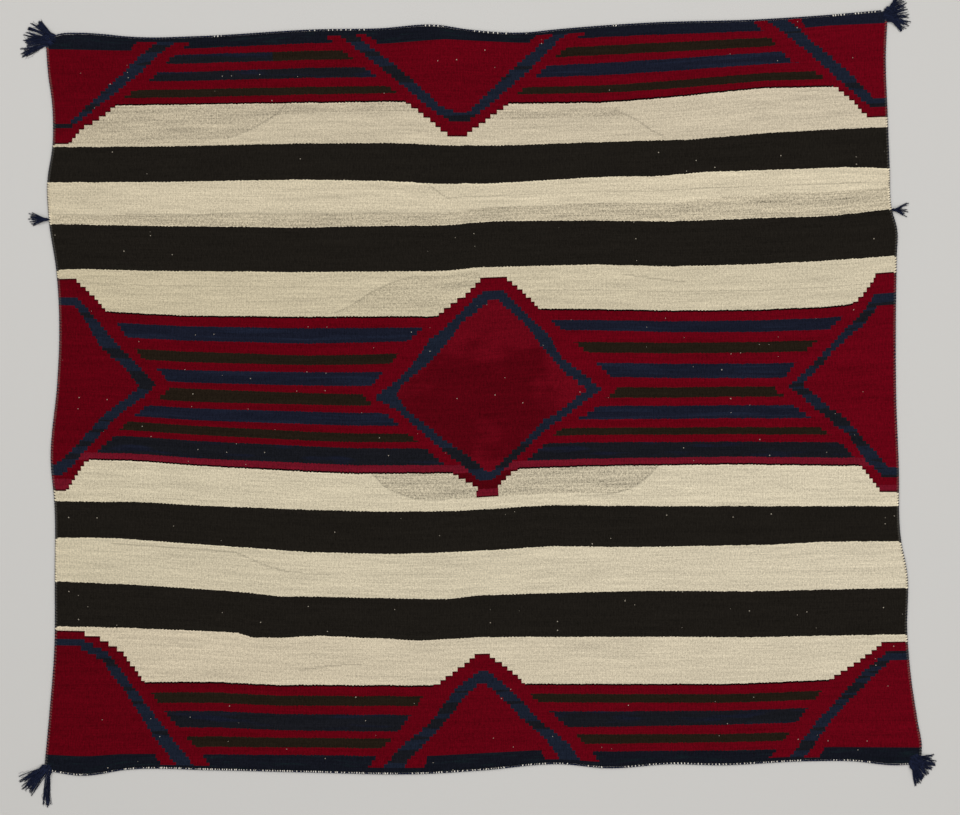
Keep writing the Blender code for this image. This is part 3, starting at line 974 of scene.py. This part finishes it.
def indigoYarn():
    material, tree, shader = newMaterial("indigoYarn")
    parts = tree.nodes.new("ShaderNodeSeparateXYZ")
    tree.links.new(mapPlace(tree, "yarnMap"), parts.inputs[0])
    along = calc(tree, "MULTIPLY", parts.outputs[0], 2 * math.pi / (yarn["fibrePitch"] * mm))
    turned = calc(tree, "MULTIPLY_ADD", parts.outputs[1], 2 * math.pi * yarn["fibreStarts"], along)
    wound = calc(tree, "SINE", turned)
    heather = heatherOf(tree, yarn["heatherScale"])
    heather.inputs["Detail"].default_value = yarn["heatherDetail"]
    strandTone = tree.nodes.new("ShaderNodeTexWhiteNoise")
    strandTone.noise_dimensions = "1D"
    tree.links.new(calc(tree, "FLOOR", parts.outputs[1]), strandTone.inputs["W"])
    share = calc(tree, "MULTIPLY_ADD", strandTone.outputs["Value"], yarn["strandTone"], yarn["toneStart"])
    share = calc(tree, "ADD", share, heather.outputs["Fac"])
    # painted shade: the wound fibres' crests are lighter and their hollows darker in the colour, following
    # the bump
    share = calc(tree, "MULTIPLY_ADD", wound, yarn["twistShade"], share)
    colour = blend(tree, share, seen(*yarn["colour"]), seen(*yarn["pale"]))
    tree.links.new(colour, shader.inputs["Base Color"])
    raiseSurface(tree, shader, wound, yarn)
    finishWool(shader)
    return material


# White wool of the warp
warpTones = {"dark": (205, 198, 182), "pale": (250, 246, 236), "heatherScale": 210.0}


def warpWool():
    material, tree, shader = newMaterial("warpWool")
    mottle = heatherOf(tree, warpTones["heatherScale"])
    colour = blend(tree, mottle.outputs["Fac"], seen(*warpTones["dark"]), seen(*warpTones["pale"]))
    tree.links.new(colour, shader.inputs["Base Color"])
    finishWool(shader)
    return material


# Unit directions across and up from each point of a path, and how far along it the point lies
def frameOf(path):
    run = np.gradient(path, axis=0)
    run /= np.linalg.norm(run, axis=1)[:, None]
    across = np.cross(run, (0.0, 0.0, 1.0))
    across /= np.maximum(np.linalg.norm(across, axis=1), 1e-6)[:, None]
    far = np.concatenate([[0], np.cumsum(np.linalg.norm(np.diff(path, axis=0), axis=1))])
    return across, np.cross(across, run), far


# One closed tube of yarn along each path. A path is points in millimetres, with a radius for each
def tubes(name, paths, sides):
    corners, faces, marks = [], [], []
    for path, radius in paths:
        path = np.asarray(path, float)
        radius = np.broadcast_to(radius, len(path))
        across, up, far = frameOf(path)
        turn = np.arange(sides) / sides * 2 * math.pi
        ring = (
            across[:, None] * np.cos(turn)[None, :, None] + up[:, None] * np.sin(turn)[None, :, None]
        ) * radius[:, None, None]
        start = sum(len(part) for part in corners)
        corners.append((path[:, None] + ring).reshape(-1, 3))
        turnShare = (len(marks) + turn[None] / (2 * math.pi)) / mm
        marks.append(np.stack(np.broadcast_arrays(far[:, None], turnShare), -1).reshape(-1, 2))
        index = start + np.arange(len(path) * sides).reshape(len(path), sides)
        beside = np.roll(index, -1, axis=1)
        quads = np.stack([index[:-1], index[1:], beside[1:], beside[:-1]], -1).reshape(-1, 4)
        faces += quads[:, ::-1].tolist()
        faces += [index[0].tolist(), index[-1][::-1].tolist()]
    mesh = meshFrom(name, np.concatenate(corners) * mm, faces)
    mesh.shade_smooth()
    cornerMap(mesh, "yarnMap", np.concatenate(marks) * mm)
    return mesh


# Twined edge cords: two plies laid round each other along each selvage
cord = {"radius": 1.6, "gap": 0.3, "lift": 0.05, "plyRadius": 0.92, "plyOffset": 0.72, "turn": 12.4,
        "stepsPerTurn": 9, "sides": 6, "knotReach": 9.5}


def edgeLine(side, step):
    points = np.array(outline[side], float)
    at = np.arange(points[0, 0], points[-1, 0], step)
    out = curveThrough(outline[side], at)
    return np.column_stack([at, out] if side in ("top", "bottom") else [out, at])


# Unit vectors away from the cloth at each point of an edge
def awayFromCloth(side, line):
    run = np.gradient(line, axis=0)
    run /= np.linalg.norm(run, axis=1)[:, None]
    turn = 1 if side in ("top", "left") else -1
    return np.column_stack([-run[:, 1], run[:, 0]]) * turn


def edgeCord(side):
    step = cord["turn"] / cord["stepsPerTurn"]
    line = edgeLine(side, step)
    out = awayFromCloth(side, line)
    line = line + out * (cord["radius"] + cord["gap"])
    skipped = round(cord["knotReach"] / step)
    line = line[skipped:-skipped]
    out = out[skipped:-skipped]
    angle = np.arange(len(line)) / cord["stepsPerTurn"] * 2 * math.pi
    paths = []
    for start in (0, math.pi):
        beside = np.cos(angle + start) * cord["plyOffset"]
        high = cord["radius"] + cord["lift"] + np.sin(angle + start) * cord["plyOffset"]
        paths.append((np.column_stack([line + out * beside[:, None], high]), cord["plyRadius"]))
    return tubes(f"twined_cord_{side}", paths, cord["sides"])


# A small closed bead of yarn, modelled once, long along x
def yarnBead():
    bpy.ops.mesh.primitive_uv_sphere_add(segments=7, ring_count=5, radius=1.0, rotation=(0, math.pi / 2, 0))
    bead = bpy.context.object
    bpy.ops.object.transform_apply(location=False, rotation=True, scale=False)
    spots = np.array([corner.co for corner in bead.data.vertices])
    faces = [list(face.vertices) for face in bead.data.polygons]
    bpy.data.objects.remove(bead, do_unlink=True)
    return spots, faces


# Copies of the bead: each place is (x, y, z, turn in the plan, length, width, height)
def beads(name, places):
    spots, faces = yarnBead()
    corners, allFaces = [], []
    for x, y, z, turn, length, width, height in places:
        local = spots * (length / 2, width / 2, height / 2)
        plan = np.column_stack([
            local[:, 0] * math.cos(turn) - local[:, 1] * math.sin(turn) + x,
            local[:, 0] * math.sin(turn) + local[:, 1] * math.cos(turn) + y,
            local[:, 2] + z,
        ])
        allFaces += [[index + len(spots) * len(corners) for index in face] for face in faces]
        corners.append(plan)
    mesh = meshFrom(name, np.concatenate(corners) * mm, allFaces)
    mesh.shade_smooth()
    return mesh, len(spots)


# White warp loops that show between the turns of the end cords: where they run, as (first x, last x,
# spacing), close together along the bottom and sparse along the top
loops = {
    "bottom": ((-850, -770, 5.4), (-742, -722, 5.4), (-702, -680, 5.0), (-662, -636, 5.4), (-630, -150, 4.8),
               (-124, 60, 5.2), (96, 190, 5.6), (226, 256, 5.4), (300, 560, 7.0), (572, 652, 5.2),
               (700, 790, 5.6), (850, 866, 5.0)),
    "top": ((-520, -505, 6.0), (-330, -220, 9.0), (-100, -60, 9.0), (0, 64, 9.0), (96, 110, 7.0),
            (276, 290, 7.0), (716, 742, 5.4), (748, 812, 6.4)),
    "length": 3.6, "width": 2.3, "height": 2.2, "high": 3.5, "out": 1.0, "skip": 0.16,
    "stray": 1.1, "slant": 0.5, "sizes": (0.6, 1.15), "mapHeight": 300.0,
}


def warpLoops():
    chance = random.Random(11)
    places = []
    for side in ("bottom", "top"):
        for first, last, spacing in loops[side]:
            for x in np.arange(first, last, spacing):
                if chance.random() < loops["skip"]:
                    continue
                x += chance.uniform(-loops["stray"], loops["stray"])
                y = float(curveThrough(outline[side], x))
                sign = 1 if side == "top" else -1
                turn = math.pi / 2 + chance.uniform(-loops["slant"], loops["slant"])
                size = chance.uniform(*loops["sizes"])
                places.append((x, y + sign * loops["out"], loops["high"], turn, loops["length"] * size,
                               loops["width"] * size, loops["height"]))
    mesh, count = beads("warp_loops", places)
    flat = np.repeat(np.array([(place[0], loops["mapHeight"]) for place in places]), count, 0)
    cornerMap(mesh, "yarnMap", flat * mm)
    return mesh


# Turns of weft at the sides, each a slanted tooth over the side cord in its own row's colour, made lighter as
# a painted highlight and paled a little toward the warp's white
teeth = {"pitch": 5.4, "length": 6.2, "width": 3.9, "height": 2.4, "slant": 36, "out": 0.3, "high": 3.0,
         "endsKept": 9, "sizes": (0.85, 1.1), "sway": 0.12, "mapInset": 4}


def selvageTeeth():
    chance = random.Random(23)
    places, spots = [], []
    for side, sign in (("left", -1), ("right", 1)):
        low, high = loom["bottomLevel"] + teeth["endsKept"], loom["topLevel"] - teeth["endsKept"]
        for v in np.arange(low, high, teeth["pitch"]):
            x, y = (float(value) for value in toCloth(sign * loom["halfWidth"], v))
            turn = sign * math.radians(teeth["slant"])
            size = chance.uniform(*teeth["sizes"])
            turn += chance.uniform(-teeth["sway"], teeth["sway"])
            places.append((x + sign * teeth["out"], y, teeth["high"], turn, teeth["length"] * size,
                           teeth["width"], teeth["height"]))
            spots.append((sign * (loom["halfWidth"] - teeth["mapInset"]), v))
    mesh, count = beads("selvage_turns", places)
    cornerMap(mesh, "loomMap", np.repeat(np.array(spots), count, 0) * mm)
    chart = chartRows(np.array([v for u, v in spots]))
    rowOf = np.repeat(np.arange(len(places)), len(mesh.polygons) // len(places))
    writeChart(mesh, chart, rowOf)
    none = np.zeros((len(places), 4))
    for rows in ("greyRows", "greyStrength", "lazyRows"):
        writeRows(mesh, rows, none, rowOf)
    return mesh


# Tassels: the line along which the strands start, how far the bound neck runs and which way in
# degrees, then the locks as (first direction, last direction, strands, shortest, longest, bend)
tassels = {
    "top_left": {"base": ((-841, 731), (-853, 706)), "neck": 12, "toward": 164, "locks": (
        (124, 150, 22, 34, 44, 4), (146, 196, 44, 44, 60, 4), (198, 208, 12, 54, 64, 4))},
    "top_right": {"base": ((826, 756), (820, 782)), "neck": 10, "toward": 8, "locks": (
        (-46, -30, 16, 30, 38, 0), (-26, 64, 60, 34, 51, -4))},
    "bottom_left": {"base": ((-865, -730), (-846, -744)), "neck": 10, "toward": 236, "locks": (
        (204, 232, 28, 36, 60, 2), (222, 240, 20, 54, 68, -2), (259, 269, 18, 60, 74, 1))},
    "bottom_right": {"base": ((870, -735), (884, -708)), "neck": 10, "toward": -38, "locks": (
        (-86, -56, 26, 32, 42, 4), (-64, -12, 46, 36, 46, 4), (-16, 8, 14, 26, 36, 0))},
}
tufts = {
    "left": {"at": 361, "toward": 178, "locks": ((156, 200, 20, 24, 44, 6),)},
    "right": {"at": 380, "toward": 3, "locks": ((-28, 32, 20, 18, 34, -6),)},
}
strand = {
    "plyRadius": 0.62, "plyOffset": 0.46, "turn": 7.0, "step": 1.5, "sides": 4, "layer": 1.5, "neck": 4,
    "frayLength": 5, "fray": 0.9, "taper": 0.72, "startRise": 3.2, "riseRun": 17, "rootRise": 0.2,
    "rootRun": 5, "rootDepth": 9, "stray": 0.25, "wander": 6, "bendSpread": 5, "layers": (0, 0, 1, 1, 2),
}
fibre = {"radius": 0.2, "share": 0.8, "wave": 1.2, "waveLength": (9, 17), "spread": 8, "flop": 0.7}
knots = {
    "corner": {"reach": 6.2, "radius": 3.3, "wave": 1.5, "rise": 1.7, "yarn": 1.45, "middle": 3.15},
    "tuft": {"reach": 5.5, "radius": 1.8, "wave": 0.8, "rise": 1.1, "yarn": 0.95, "middle": 2.1, "out": 1.9},
}


# Two plies round a middle line
def plied(middle, turnStart):
    across, up, far = frameOf(middle)
    # the plies part a little at the cut end
    loose = 1 + np.clip(1 - (far[-1] - far) / strand["frayLength"], 0, 1) * strand["fray"]
    paths = []
    for start in (0, math.pi):
        angle = far / strand["turn"] * 2 * math.pi + start + turnStart
        beside = across * np.cos(angle)[:, None] + up * np.sin(angle)[:, None]
        path = middle + beside * (strand["plyOffset"] * loose)[:, None]
        path[:, 2] = np.maximum(path[:, 2], strand["plyRadius"])
        paths.append((path, np.linspace(1.0, strand["taper"], len(path)) * strand["plyRadius"]))
    return paths


def strandLine(start, toward, neck, direction, bend, length, layer, chance):
    count = round(length / strand["step"])
    t = np.linspace(0, 1, count)
    far = t * length
    share = np.clip(far / max(neck, 1.0), 0, 1) ** 2
    sway = chance.uniform(-strand["wander"], strand["wander"])
    wander = sway * np.sin(t * chance.uniform(2.5, 5.0) + chance.uniform(0, 3))
    heading = np.radians(toward + (direction - toward) * share + bend * t**2 + wander * share)
    hop = length / (count - 1)
    x = start[0] + np.concatenate([[0], np.cumsum(np.cos(heading[:-1]))]) * hop
    y = start[1] + np.concatenate([[0], np.cumsum(np.sin(heading[:-1]))]) * hop
    low = strand["plyRadius"] + strand["plyOffset"]
    arch = np.sin(np.clip(t * 1.15, 0, 1) * math.pi)
    rise = strand["startRise"] * np.exp(-(far / strand["riseRun"]) ** 2)
    rise = rise * np.clip(strand["rootRise"] + far / strand["rootRun"], 0, 1)
    z = low + rise + layer * strand["layer"] * arch
    return np.column_stack([x, y, z])


# A single fibre that strays from its strand and waves
def looseFibre(line, chance):
    line = line[::2]
    t = np.linspace(0, 1, len(line))
    stray = math.radians(chance.uniform(-1, 1) * fibre["spread"])
    arm = line[:, :2] - line[0, :2]
    turned = stray * t
    path = line.copy()
    path[:, 0] = line[0, 0] + arm[:, 0] * np.cos(turned) - arm[:, 1] * np.sin(turned)
    path[:, 1] = line[0, 1] + arm[:, 0] * np.sin(turned) + arm[:, 1] * np.cos(turned)
    far = t * np.linalg.norm(arm[-1])
    phase = far / chance.uniform(*fibre["waveLength"]) * 2 * math.pi + chance.uniform(0, 6)
    run = arm[-1] / np.linalg.norm(arm[-1])
    side = np.array([-run[1], run[0]])
    path[:, :2] += side * (np.sin(phase) * fibre["wave"] * np.sqrt(t))[:, None]
    path[:, 2] = np.maximum(line[:, 2] * fibre["flop"] + fibre["flop"] * np.cos(phase), fibre["radius"])
    return path, fibre["radius"]


def knotPath(middle, shape):
    t = np.linspace(0, 2 * math.pi, 64, endpoint=False)
    wide = shape["radius"] + shape["wave"] * np.cos(3 * t)
    ring = np.column_stack([
        middle[0] + wide * np.cos(2 * t), middle[1] + wide * np.sin(2 * t),
        shape["middle"] + shape["rise"] * np.sin(3 * t),
    ])
    return np.concatenate([ring, ring[:2]]), shape["yarn"]


def tasselMesh(name, middle, row, shape, seed):
    chance = random.Random(seed)
    away = math.radians(row["toward"] + 90)
    aside = np.array([math.cos(away), math.sin(away)]) * shape["radius"] * 0.8
    along = np.array([math.cos(math.radians(row["toward"])), math.sin(math.radians(row["toward"]))])
    base = np.array(row.get("base", (np.array(middle) - aside, np.array(middle) + aside)), float)
    paths = [knotPath(middle, shape)]
    widest = (min(lock[0] for lock in row["locks"]), max(lock[1] for lock in row["locks"]))
    for first, last, count, short, longest, bend in row["locks"]:
        for i in range(count):
            direction = first + (last - first) * (i + chance.random()) / count
            share = (direction - widest[0]) / (widest[1] - widest[0])
            share += chance.uniform(-strand["stray"], strand["stray"])
            share = min(max(share, 0), 1)
            depth = chance.uniform(0, 1) * strand["rootDepth"] * (1.2 - (2 * share - 1) ** 2)
            start = base[0] + (base[1] - base[0]) * share - along * depth
            turned = bend + chance.uniform(-strand["bendSpread"], strand["bendSpread"])
            length = chance.uniform(short, longest)
            layer = chance.choice(strand["layers"])
            neck = row.get("neck", strand["neck"])
            line = strandLine(start, row["toward"], neck, direction, turned, length, layer, chance)
            paths += plied(line, chance.uniform(0, 6))
            if chance.random() < fibre["share"]:
                paths.append(looseFibre(line, chance))
    return tubes(name, paths, strand["sides"])


def cornerKnotMiddle(corner):
    edge, end = corner.split("_")
    x, y = outline[edge][0 if end == "left" else -1]
    aside = knots["corner"]["reach"] * math.sqrt(0.5)
    return x + math.copysign(aside, x), y + math.copysign(aside, y)


def tuftMiddle(side, at):
    edge = float(curveThrough(outline[side], at))
    return edge + math.copysign(knots["tuft"]["reach"], edge) + math.copysign(knots["tuft"]["out"], edge), at


makeStudio()
stripedWoolMaterial = stripedWool("stripedWool", 1.0, 0.0)
# a lighter copy of the cloth's wool for the selvage turns: painted highlight
turnedWoolMaterial = stripedWool("turnedWool", cloth["turnedHighlight"], cloth["turnedPale"])
indigoYarnMaterial = indigoYarn()
panel = addPiece("woven_panel", wovenPanel(), stripedWoolMaterial, "blanket_cloth")
print("woven panel:", len(panel.data.polygons), "faces")
for side in ("top", "bottom", "left", "right"):
    mesh = edgeCord(side)
    addPiece(f"twined_cord_{side}", mesh, indigoYarnMaterial, f"edge_cord_{side}")
print("edge cords laid")
addPiece("warp_loops", warpLoops(), warpWool(), None)
addPiece("selvage_turns", selvageTeeth(), turnedWoolMaterial, None)
print("loops and selvage turns sewn")
for number, (corner, row) in enumerate(tassels.items()):
    name = f"tassel_{corner}"
    mesh = tasselMesh(name, cornerKnotMiddle(corner), row, knots["corner"], 40 + number)
    addPiece(name, mesh, indigoYarnMaterial, f"corner_{name}")
for number, (side, row) in enumerate(tufts.items()):
    mesh = tasselMesh(f"tuft_{side}", tuftMiddle(side, row["at"]), row, knots["tuft"], 60 + number)
    addPiece(f"tuft_{side}", mesh, indigoYarnMaterial, f"side_tuft_{side}")
